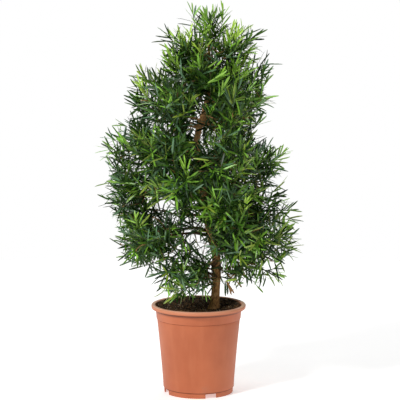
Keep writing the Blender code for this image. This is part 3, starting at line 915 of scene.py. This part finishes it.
class Crown:
    # all masses as one closed surface
    def __init__(self):
        points, corners, shift = [], [], 0
        self.masses = {}
        for name in massNames:
            own, faces = pointsOf(nodes[name].data), cornersOf(nodes[name].data)
            a, b, c = own[faces[:, 0]], own[faces[:, 1]], own[faces[:, 2]]
            areas = np.linalg.norm(np.cross(b - a, c - a), axis=1) / 2
            self.masses[name] = {
                "points": own,
                "tree": BVHTree.FromPolygons([Vector(p) for p in own], faces.tolist()),
                "volume": abs(np.einsum("ij,ij->i", a, np.cross(b, c)).sum() / 6),
                "middle": own.mean(0),
                "faces": np.stack((a, b, c), 1),
                "normals": units(np.cross(b - a, c - a)),
                "areas": areas,
            }
            points.append(own)
            corners.append(faces + shift)
            shift += len(own)
        points, corners = np.concatenate(points), np.concatenate(corners)
        self.tree = BVHTree.FromPolygons([Vector(p) for p in points], corners.tolist())
        for mass in self.masses.values():  # faces against a neighbour are no skin
            ahead = mass["faces"].mean(1) + mass["normals"] * 0.014
            mass["skin"] = mass["areas"] * (self.depths(ahead) < 0)

    def depth(self, place, tree=None):
        # how deep inside a place is, below 0 outside
        spot, normal, _, far = (tree or self.tree).find_nearest(Vector(place))
        return math.copysign(far, (spot - Vector(place)).dot(normal))

    def depths(self, places):
        return np.array([self.depth(place) for place in places])


crown = Crown()
print("crown:", round(sum(mass["volume"] for mass in crown.masses.values()) * 1000, 1), "litres")


def outFromTrunk(place):
    start, _ = trunkAt(place[2])
    out = place - start
    out[2] *= 0.35
    return unit(out)


def riseAt(height):
    # shoots turn up high in the crown and hang a little at its foot
    return np.interp(height, (0.24, 0.36, 0.60, 0.85), (-0.30, 0.0, 0.32, 0.50))


def blocked(place, margin):
    return openShare(place, margin)[0] < growth["shootShare"]


def skinShoot(rng, mass):
    # a shoot whose last leaves end at the crown's surface
    face = rng.choice(len(mass["skin"]), p=mass["skin"] / mass["skin"].sum())
    share = np.sort(rng.random(2))
    share = np.array((share[0], share[1] - share[0], 1 - share[1]))
    spot, normal = share @ mass["faces"][face], mass["normals"][face]
    way = normal * 0.6 + outFromTrunk(spot) * 0.5 + upWay * riseAt(spot[2])
    way = unit(way + rng.normal(size=3) * growth["wander"])
    if way @ normal < 0.30:
        return None
    place = spot - way * growth["reach"]
    if crown.depth(place, mass["tree"]) < 0.003 or blocked(place, 1.15):
        return None
    return place, way


def innerShoot(rng, mass):
    low, high = mass["points"].min(0), mass["points"].max(0)
    place = low + rng.random(3) * (high - low)
    if crown.depth(place, mass["tree"]) < 0.018 or blocked(place, 1.15):
        return None
    way = outFromTrunk(place) * 0.7 + unit(place - mass["middle"]) * 0.4 + upWay * (riseAt(place[2]) + 0.2)
    return place, unit(way + rng.normal(size=3) * growth["wander"] * 1.4)


def boughShoot(rng, line):
    # a short shoot that stands on a bough between the trunk and the mass
    step = rng.uniform(0.22, 1.0) * (len(line) - 1)
    k = min(int(step), len(line) - 2)
    spot = line[k] + (line[k + 1] - line[k]) * (step - k)
    along = unit(line[k + 1] - line[k])
    side = rng.normal(size=3)
    side = unit(side - along * (side @ along))
    way = unit(side + along * 0.5 + upWay * 0.25)
    place = spot + way * rng.uniform(*growth["boughShoot"])
    if crown.depth(place) > 0.010 or blocked(place, 1.1):
        return None
    return place, way


def spread(rng, taken, wanted, propose):
    # the most open of a few proposed places, again and again
    found = []
    for _ in range(wanted):
        best, most = None, -1.0
        for _ in range(growth["candidates"]):
            made = propose()
            if made is None:
                continue
            room = np.linalg.norm(np.array(taken) - made[0], axis=1).min()
            if room > most:
                best, most = made, room
        if best:
            taken.append(best[0])
            found.append(best)
    return found


def newShoot(tip, way, mass, young="", free=False):
    # young is its tint as new growth, free means that the crown's surface doesn't bound it
    return {"tip": tip, "way": way, "mass": mass, "young": young, "free": free}


def massRound(place):
    return max(massNames, key=lambda name: crown.depth(place, crown.masses[name]["tree"]))


def shootPlaces(rng):
    # tips spread evenly through the crown, clear of its openings
    shoots = []
    for x, height, depth, tint in youngTips:
        place = fromSeen(x, height, depth)
        way = unit(outFromTrunk(place) * 0.6 + upWay * 0.9 + rng.normal(size=3) * 0.2)
        shoots.append(newShoot(place, way, massRound(place), tint))
    for x, height, depth in looseTips:
        place = fromSeen(x, height, depth)
        way = unit(outFromTrunk(place) + upWay * riseAt(height) + rng.normal(size=3) * 0.25)
        shoots.append(newShoot(place, way, massRound(place), free=True))
    taken = [shoot["tip"] for shoot in shoots]
    shoots.append(newShoot(fromSeen(*lowTwig["tip"]), unit(np.array(lowTwig["way"])), "trunk", "dry", True))
    for name in massNames:
        mass = crown.masses[name]
        closer = growth["upperDensity"] if mass["middle"][2] > growth["upperFrom"] else 1.0
        wanted = round(mass["skin"].sum() / growth["skinArea"] * closer)
        found = spread(rng, taken, wanted, lambda: skinShoot(rng, mass))
        wanted = round(mass["volume"] * 1000 / growth["litresPerShoot"])
        found += spread(rng, taken, wanted, lambda: innerShoot(rng, mass))
        shoots += [newShoot(*place, name) for place in found]
        if "bough_" + name in boughLines:
            line, _ = boughLines["bough_" + name]
            wanted = round(np.linalg.norm(np.diff(line, axis=0), axis=1).sum() / growth["boughGap"])
            found = spread(rng, taken, wanted, lambda: boughShoot(rng, line))
            shoots += [newShoot(*place, name, free=True) for place in found]
    return shoots


def seatOf(name):
    # points where a mass's growth starts, with the way the limb runs there
    if "bough_" + name in boughLines:
        line, _ = boughLines["bough_" + name]
        return line[3:], units(np.gradient(line, axis=0))[3:]
    if name == "trunk":
        near = np.abs(trunkLine[:, 2] - lowTwig["tip"][1] - 0.018) < 0.008
        return trunkLine[near], np.tile(unit(np.array(lowTwig["way"])), (near.sum(), 1))
    mass = crown.masses[name]
    near = trunkLine[:, 2] > mass["points"][:, 2].min() - 0.045
    near &= trunkLine[:, 2] < mass["middle"][2]
    line = trunkLine[near]
    return line, units(units(mass["middle"] - line) + upWay * 0.5)


def curvedRun(start, finish, leave, arrive, step):
    # a smooth run of points between two places
    far = np.linalg.norm(finish - start)
    count = max(2, math.ceil(far / step))
    t = np.linspace(0, 1, count + 1)[:, None]
    first, second = start + leave * far * 0.35, finish - arrive * far * 0.35
    inner = start * (1 - t) ** 3 + first * 3 * t * (1 - t) ** 2
    return inner + second * 3 * t**2 * (1 - t) + finish * t**3


def shapeShoot(rng, shoot):
    length = rng.uniform(*growth["shootLength"])
    if shoot["free"]:
        length *= 0.6
    shoot["foot"] = shoot["tip"] - shoot["way"] * length - upWay * 0.12 * length


def growTwigs(rng, shoots):
    # each shoot joins what has grown already where the way back is shortest
    twigs = []
    for name in (*massNames, "trunk"):
        seats, ways = seatOf(name)
        spots, headings = [*seats], [*ways]
        runs, parents, owners = [0.0] * len(seats), [-1] * len(seats), [-1] * len(seats)
        own = [shoot for shoot in shoots if shoot["mass"] == name]
        for shoot in own:
            shapeShoot(rng, shoot)
        own.sort(key=lambda shoot: np.linalg.norm(seats - shoot["foot"], axis=1).min())
        for number, shoot in enumerate(own, len(twigs)):
            shoot["number"] = number
            placed, aimed = np.array(spots), np.array(headings)
            gap = shoot["foot"] - placed
            turn = 1 - (units(gap) * aimed).sum(1)
            cost = np.linalg.norm(gap, axis=1) * (1 + 0.25 * turn) + growth["detour"] * np.array(runs)
            at = int(np.argmin(cost))
            early = unit(shoot["way"] - upWay * growth["turnUp"] * 0.6)
            leave = unit(aimed[at] * 0.7 + unit(gap[at]) * 0.6)
            line = curvedRun(placed[at], shoot["foot"], leave, early, 0.010)
            stem = curvedRun(shoot["foot"], shoot["tip"], early, unit(shoot["way"] + upWay * 0.15), 0.008)
            shoot["stem"], shoot["twig"], shoot["under"] = stem, line, {owners[at]} - {-1}
            last, indexes = at, [at]
            for spot, before in zip(np.vstack((line[1:], stem[1:])), np.vstack((line, stem[1:]))):
                spots.append(spot)
                headings.append(unit(spot - before))
                runs.append(runs[last] + np.linalg.norm(spot - before))
                parents.append(last)
                owners.append(shoot["number"])
                last = len(spots) - 1
                indexes.append(last)
            shoot["indexes"] = indexes
        load = np.zeros(len(spots))
        for shoot in own:
            step = shoot["indexes"][-1]
            while step >= 0:
                load[step] += 1
                step = parents[step]
        for shoot in own:
            carried = np.maximum(load[shoot["indexes"]], 1)
            carried[0] = carried[1]
            radii = np.minimum(growth["tipRadius"] * carried ** growth["forkPower"], growth["thickest"])
            count = len(shoot["twig"])
            shoot["twigRadii"] = radii[:count]
            taper = np.linspace(1.0, 0.7, len(radii) - count + 1)
            shoot["stemRadii"] = radii[count - 1 :] * taper
        twigs += own
    return twigs


growthRng = np.random.default_rng(growth["seed"])
shoots = growTwigs(growthRng, shootPlaces(growthRng))
print("shoots:", len(shoots), "of them on boughs:", sum(shoot["free"] for shoot in shoots))


def twigBark(place):
    tone = place.noiseField(160.0, 4.0)
    base = tone.between(0.38, 0.64).colours((0.150, 0.078, 0.030), (0.440, 0.250, 0.100))
    return {"Base Color": base, "Roughness": 0.74 + tone * 0.15}


def stemSkin(place):
    tone = place.noiseField(120.0, 3.0)
    base = tone.between(0.36, 0.64).colours((0.060, 0.080, 0.020), (0.130, 0.150, 0.040))
    return {"Base Color": base, "Roughness": 0.50 + tone * 0.15}


twigMaterial = newMaterial("twig_bark", twigBark, Specular_IOR_Level=0.25)
stemMaterial = newMaterial("stem_green", stemSkin, Specular_IOR_Level=0.4)


def makeWood(name, runs, radii, slot, material):
    wood = limbTubes(name, [(shoot[runs], shoot[radii]) for shoot in shoots], 1)
    smoothShade(wood, 60)
    finished(wood, name, slot, massNames, material)


# Leaves: one blade modelled, then copied in spirals up each shoot

leafSettings = {
    "length": 0.049,
    "width": 0.0046,
    "thickness": 0.0009,
    "stations": [(0.0, 0.20), (0.08, 0.58), (0.26, 0.94), (0.72, 1.0), (0.92, 0.56), (1.0, 0.03)],
    "gap": 0.0033,  # between two leaves up a shoot
    "bareFoot": 0.10,  # share of a shoot below its first leaf
    "twigLeaves": 0.045,  # length of twig below a shoot that keeps some old leaves
    "twigGap": 0.0065,
    "spread": (74.0, 26.0),  # degrees from the shoot, at its foot and at its tip
    "youngSpread": (44.0, 16.0),
    "lengthShares": (0.92, 1.04, 0.76),  # at a shoot's foot, middle and tip
    "faceUp": 0.28,
    "roll": 0.40,
    "droop": 0.10,
    "bareBelow": 0.42,  # share of its leaves that a shoot needs to stay
    "freeLimit": 0.050,  # how far a free shoot's leaves may pass the crown's surface
    "shortened": 0.86,  # a leaf that passes it, twice at most
    "offTrunk": 0.001,
    "offLip": 0.003,
    "underside": {"Roughness": 0.55, "Specular_IOR_Level": 0.22},
    "overLip": 0.014,  # from the pot's top to the lowest leaf over it
    "seed": 71,
}

# Leaf colours: upper side, underside, roughness and gloss of the upper side
leafTints = {
    "leaves_shade": ((0.012, 0.038, 0.008), (0.044, 0.094, 0.022), 0.42, 0.32),
    "leaves_deep": ((0.012, 0.043, 0.002), (0.048, 0.106, 0.010), 0.44, 0.26),
    "leaves_dark": ((0.042, 0.128, 0.006), (0.088, 0.190, 0.022), 0.44, 0.38),
    # leaves_sea is blue-grey partly as a painted sheen of the white surround
    "leaves_sea": ((0.092, 0.208, 0.092), (0.156, 0.268, 0.138), 0.34, 0.95),
    "leaves_mid": ((0.146, 0.330, 0.020), (0.206, 0.356, 0.056), 0.40, 0.85),
    "leaves_olive": ((0.270, 0.390, 0.032), (0.300, 0.408, 0.074), 0.42, 0.85),
    "leaves_fresh": ((0.250, 0.550, 0.042), (0.305, 0.535, 0.090), 0.42, 0.85),
    "leaves_spring": ((0.325, 0.630, 0.050), (0.335, 0.575, 0.080), 0.44, 0.70),
    "leaves_lime": ((0.530, 0.810, 0.095), (0.490, 0.720, 0.125), 0.48, 0.60),
    "leaves_dry": ((0.215, 0.112, 0.040), (0.225, 0.128, 0.052), 0.60, 0.30),
    "leaves_pale": ((0.400, 0.500, 0.210), (0.430, 0.520, 0.250), 0.52, 0.40),
}
tintNames = list(leafTints)


def tintAt(name):
    return tintNames.index("leaves_" + name)


def makeLeafModel():
    made = leafSettings
    deselectAll()
    bpy.ops.mesh.primitive_circle_add(
        vertices=4, radius=0.5, fill_type="NGON", rotation=(math.radians(90), 0, 0)
    )
    leaf = bpy.context.object
    applyPlace(leaf)
    editAll()
    (wasAt, wasWide), rest = made["stations"][0], made["stations"][1:]
    wasThick = 0.5
    bpy.ops.transform.resize(value=(made["width"] * wasWide, 1, made["thickness"] * wasThick))
    for at, wide in rest:
        thick = 0.45 + 0.55 * wide if at < 0.9 else 0.3
        move = (0, made["length"] * (at - wasAt), 0)
        bpy.ops.mesh.extrude_region_move(TRANSFORM_OT_translate={"value": move})
        bpy.ops.transform.resize(value=(wide / wasWide, 1, thick / wasThick))
        wasAt, wasWide, wasThick = at, wide, thick
    bpy.ops.mesh.merge(type="CENTER")
    leaveEdit()
    leaf.name = "leaf_model"
    return leaf


def alongLine(line, shares):
    run = runOf(line)
    at = shares * run[-1]
    return onLine(line, run, at), onLine(line, run, at + lookAhead) - onLine(line, run, at - lookAhead)


def leafRing(rng, number, line, shares, spreads, scales, young, tints):
    # a leaf at each share of a stem, turned by the golden angle from the one before
    made = leafSettings
    count = len(shares)
    first = rng.random() * 6.3
    spots, ways = alongLine(line, shares)
    ways = units(ways)
    side = units(np.cross(ways, upWay + np.array((0.013, 0.021, 0.0))))
    other = np.cross(ways, side)
    turn = first + goldenTurn * np.arange(count) + rng.normal(size=count) * 0.25
    out = side * np.cos(turn)[:, None] + other * np.sin(turn)[:, None]
    spread = np.radians(spreads + rng.normal(size=count) * 7.0)
    along = units(ways * np.cos(spread)[:, None] + out * np.sin(spread)[:, None])
    along = units(along + rng.normal(size=(count, 3)) * 0.07 - upWay * 0.05)
    face = ways - along * (ways * along).sum(1)[:, None]
    up = upWay - along * along[:, 2:3]
    upward = units(face) * (1 - made["faceUp"]) + up * made["faceUp"]
    upward = units(upward + rng.normal(size=(count, 3)) * made["roll"])
    upward = units(upward - along * (upward * along).sum(1)[:, None])
    return {
        "origin": spots,
        "along": along,
        "up": upward,
        "length": scales * rng.normal(1.0, 0.09, count),
        "width": np.clip(rng.normal(1.0, 0.10, count), 0.75, 1.25) * (0.72 + 0.28 * np.clip(scales, 0, 1)),
        "bend": made["droop"] * rng.normal(1.0, 0.9, count) - young * 0.06,
        "tint": tints,
        "free": np.full(count, shoots[number]["free"]),
        "owner": np.full(count, number),
    }


def shootTint(rng, shoot):
    # the tint that a spray is dealt: bluer on the left, partly as painted sheen on the side the light comes
    # from, yellower on the right, fresher at the top
    x, _, z = shoot["tip"]
    shares = {
        "deep": 0.26,
        "dark": 0.30,
        "sea": 0.16 + max(0.0, -x) * 1.0,
        "mid": 0.24,
        "olive": 0.05 + max(0.0, x) * 0.9,
        "fresh": 0.05 + max(0.0, z - 0.6) * 0.22,
    }
    weights = np.array(list(shares.values()))
    return tintAt(list(shares)[rng.choice(len(shares), p=weights / weights.sum())])


def growLeaves(rng):
    made = leafSettings
    foot, middle, tip = made["lengthShares"]
    rings = []
    for number, shoot in enumerate(shoots):
        tint = shootTint(rng, shoot)
        length = runOf(shoot["stem"])[-1]
        count = max(8, round(length * (1 - made["bareFoot"]) / made["gap"]))
        t = np.linspace(made["bareFoot"], 1.0, count)
        scales = np.interp(t, (0, 0.45, 1.0), (foot, middle, tip))
        spreads = np.interp(t**1.4, (0, 1), made["spread"])
        tints = np.full(count, tint)
        chance = rng.random(count)  # the foot's leaves are older and darker, partly as painted shade inside the crown, and a few stand out
        tints[(chance < 0.22) | (chance < 0.58) & (t < 0.50)] = tintAt("deep")
        tints[(tints == tintAt("deep")) & (rng.random(count) < 0.45)] = tintAt("shade")
        tints[(chance > 0.90) & (t > 0.30)] = tintAt("sea")
        tints[(chance > 0.95) & (t > 0.30)] = tintAt("fresh")
        flush = shoot["young"]
        if not flush and rng.random() < 0.08 + max(0.0, shoot["tip"][2] - 0.66) * 0.9:
            flush = "spring" if rng.random() < (shoot["tip"][2] - 0.62) * 0.9 else "fresh"
        young = np.zeros(count)
        if flush:  # new growth at the tip, upright and pale
            young = (t > (0.50 if shoot["young"] else 0.70)).astype(float)
            tints = np.where(young > 0, tintAt(flush), tints)
            spreads = np.where(young > 0, np.interp(t, (0.5, 1), made["youngSpread"]), spreads)
            scales = np.where(young > 0, scales * 0.86, scales)
        else:  # the last leaves are a shade fresher than the rest
            tints = np.where((t > 0.86) & (tints < tintAt("olive")), tints + 1, tints)
        if shoot["mass"] == "trunk":  # the low twig has its own leaves
            continue
        rings.append(leafRing(rng, number, shoot["stem"], t, spreads, scales, young, tints))
        twigLength = np.linalg.norm(np.diff(shoot["twig"], axis=0), axis=1).sum()
        kept = min(made["twigLeaves"], twigLength * 0.8)
        count = int(kept / made["twigGap"])
        if count > 1:
            t = 1 - np.linspace(kept / twigLength, 0.02, count)
            # one tint darker: older leaves, and partly painted shade deep in the crown
            tints = np.full(count, max(0, tint - 1))
            old = 0.030 if shoot["tip"][0] > 0 and shoot["tip"][2] < 0.64 else 0.004
            tints[rng.random(count) < old] = tintAt("dry")
            scales, spreads = np.full(count, 0.95), np.full(count, 72.0)
            rings.append(leafRing(rng, number, shoot["twig"], t, spreads, scales, 0.0 * t, tints))
    return {key: np.concatenate([ring[key] for ring in rings]) for key in rings[0]}


def hungLeaves():
    # the leaves of the low twig and the curled ones over the soil
    rows = []
    tip, aim = fromSeen(*lowTwig["tip"]), unit(np.array(lowTwig["way"]))
    for past, way, length, tint in lowTwig["leaves"]:
        rows.append((tip + aim * past, way, lowTwig, length, tint))
    stems = np.concatenate([shoot["stem"][2:-1] for shoot in shoots])
    for place, way in curled["leaves"]:
        near = stems[np.argmin(np.linalg.norm(stems - fromSeen(*place), axis=1))]
        rows.append((near, way, curled, curled["length"], "pale"))
    origins, ways, kinds, lengths, tints = zip(*rows)
    along = units(np.array(ways))
    up = np.array([kind["face"] for kind in kinds])
    return {
        "origin": np.array(origins),
        "along": along,
        "up": units(up - along * (up * along).sum(1)[:, None]),
        "length": np.array(lengths),
        "width": np.array([kind["width"] for kind in kinds]),
        "bend": np.array([kind["bend"] for kind in kinds]),
        "tint": np.array([tintAt(tint) for tint in tints]),
        "free": np.ones(len(rows), bool),
        "owner": np.full(len(rows), -1),
    }


def keptLeaves(rng, leaves):
    # leaves that pass the crown's surface are shortened or left out, and so are most in an opening
    # and all that run into pot, soil or trunk
    made = leafSettings
    limit = growth["overshoot"] + rng.random(len(leaves["origin"])) ** 2 * 0.012
    limit = np.where(leaves["free"], made["freeLimit"], limit)
    for shrink in (made["shortened"], made["shortened"], 1.0):
        reach = leaves["length"][:, None] * made["length"]
        tips = leaves["origin"] + leaves["along"] * reach
        kept = crown.depths(tips) > -limit
        leaves["length"] = np.where(kept, leaves["length"], leaves["length"] * shrink)
    middles = leaves["origin"] + leaves["along"] * reach * 0.55
    share = np.minimum(openShare(middles), openShare(tips, 0.92))
    kept &= rng.random(len(share)) < share
    overPot = np.hypot(tips[:, 0], tips[:, 1]) < potSettings["lipRadius"] + made["offLip"]
    kept &= ~overPot | (tips[:, 2] > potSettings["height"] + made["overLip"])
    for place in (middles, tips):
        middle, radius = trunkAt(place[:, 2])
        kept &= np.linalg.norm(place[:, :2] - middle[:, :2], axis=1) > radius + made["offTrunk"]
    return {key: value[kept] for key, value in leaves.items()}


def bareShoots(grown, leaves):
    # shoots that lost most leaves or stray outside and that nothing stands on, and what carries others
    before, after = (np.bincount(kept["owner"], minlength=len(shoots)) for kept in (grown, leaves))
    thin = set()
    for k, shoot in enumerate(shoots):
        lost = after[k] < before[k] * leafSettings["bareBelow"]
        strays = not shoot["free"] and crown.depths(shoot["stem"]).min() < -growth["stray"]
        if shoot["mass"] != "trunk" and (lost or strays):
            thin.add(k)
    bare, more = set(), thin
    while more:
        carried = set().union(*(shoot["under"] for k, shoot in enumerate(shoots) if k not in bare))
        more = {k for k in thin - bare if k not in carried}
        bare |= more
    return bare, carried


def endAtLeaves(leaves, carried):
    # a stem that carries no other ends at its last leaf
    for k, shoot in enumerate(shoots):
        own = leaves["origin"][leaves["owner"] == k]
        if k not in carried and len(own):
            gaps = np.linalg.norm(shoot["stem"][:, None] - own[None], axis=2).min(1)
            ends = max(2, np.flatnonzero(gaps < 0.009).max(initial=1) + 1)
            shoot["stem"], shoot["stemRadii"] = shoot["stem"][:ends], shoot["stemRadii"][:ends]


def makeLeafPiece(name, model, leaves, upperFaces):
    made = leafSettings
    points, corners = pointsOf(model.data), cornersOf(model.data)
    share = points[:, 1] / made["length"]
    local = np.repeat(points[None], len(leaves["origin"]), 0)
    local[..., 0] *= leaves["width"][:, None]
    local[..., 1] *= leaves["length"][:, None]
    local[..., 2] -= leaves["bend"][:, None] * leaves["length"][:, None] * made["length"] * share**2
    along, up = leaves["along"], leaves["up"]
    places, faces = copies(local, corners, leaves["origin"], np.cross(along, up), along, up)
    slots = np.tile(np.where(upperFaces, 0, 1), len(along))
    piece = meshFrom(name, places, faces)
    smoothShade(piece, 50)
    upper, under, roughness, shine = leafTints[name]
    gloss = {"Roughness": roughness, "Specular_IOR_Level": shine}
    top = newMaterial(name + "_upper", None, Base_Color=solid(upper), **gloss)
    back = newMaterial(name + "_under", None, Base_Color=solid(under), **made["underside"])
    finished(piece, name, "foliage", massNames, top, back)
    piece.data.polygons.foreach_set("material_index", slots.astype(np.int32))


leafModel = makeLeafModel()
modelPoints, modelCorners = pointsOf(leafModel.data), cornersOf(leafModel.data)
firstEdge = modelPoints[modelCorners[:, 1]] - modelPoints[modelCorners[:, 0]]
secondEdge = modelPoints[modelCorners[:, 2]] - modelPoints[modelCorners[:, 0]]
upperFaces = np.cross(firstEdge, secondEdge)[:, 2] > 0
print("leaf model:", len(modelCorners), "triangles,", int(upperFaces.sum()), "of them above")

leafRng = np.random.default_rng(leafSettings["seed"])
grown = growLeaves(leafRng)
leaves = keptLeaves(leafRng, grown)
bare, carried = bareShoots(grown, leaves)
hung = hungLeaves()
stays = ~np.isin(leaves["owner"], list(bare))
leaves = {key: np.concatenate((value[stays], hung[key])) for key, value in leaves.items()}
endAtLeaves(leaves, carried)
shoots = [shoot for k, shoot in enumerate(shoots) if k not in bare]
print("leaves:", len(leaves["origin"]), "bare shoots left out:", len(bare))
makeWood("twigs", "twig", "twigRadii", "bark", twigMaterial)
makeWood("stems", "stem", "stemRadii", "foliage", stemMaterial)
for number, name in enumerate(tintNames):
    chosen = leaves["tint"] == number
    if chosen.any():
        makeLeafPiece(name, leafModel, {key: value[chosen] for key, value in leaves.items()}, upperFaces)
bpy.data.objects.remove(leafModel)


# Stage: a plain pale floor, a white surround and soft light from the upper left

stageSettings = {
    "floorRadius": 2.2,
    "floorColour": (0.93, 0.93, 0.93),
    "floorGlow": 0.42,
    "surround": 0.16,  # as light; the camera sees it white
    "lamps": [  # name, place, size and power
        ("key", (-2.4, -2.6, 3.0), 0.8, 128.0),
        ("fill", (2.8, -2.0, 1.4), 2.4, 21.0),
        ("top", (0.3, 1.6, 3.4), 2.0, 58.0),
    ],
}

deselectAll()
bpy.ops.mesh.primitive_circle_add(vertices=96, radius=stageSettings["floorRadius"], fill_type="NGON")
floor = bpy.context.object
floor.name = "floor"
floorMaterial = newMaterial(
    "floor_pale",
    None,
    Base_Color=solid(stageSettings["floorColour"]),
    Roughness=0.9,
    Emission_Color=solid((1.0, 1.0, 1.0)),
    Emission_Strength=stageSettings["floorGlow"],
)
floor.data.materials.append(floorMaterial)

for name, place, size, power in stageSettings["lamps"]:
    deselectAll()
    bpy.ops.object.light_add(type="AREA", location=place)
    light = bpy.context.object
    light.name = name
    light.data.shape = "DISK"
    light.data.size = size
    light.data.energy = power
    aim = Vector((0, 0, 0.5)) - light.location
    light.rotation_euler = aim.to_track_quat("-Z", "Y").to_euler()

world = bpy.data.worlds.new("surround")
bpy.context.scene.world = world
world.use_nodes = True
backdrop = world.node_tree.nodes["Background"]
backdrop.inputs["Color"].default_value = solid((1.0, 1.0, 1.0))
seen = Wire(world.node_tree).node("LightPath", out="Is Camera Ray")
strength = stageSettings["surround"] + seen * (1.0 - stageSettings["surround"])
world.node_tree.links.new(strength.socket, backdrop.inputs["Strength"])
bpy.context.scene.view_settings.view_transform = "Standard"
bpy.context.scene.view_settings.look = "None"
print("stage set")
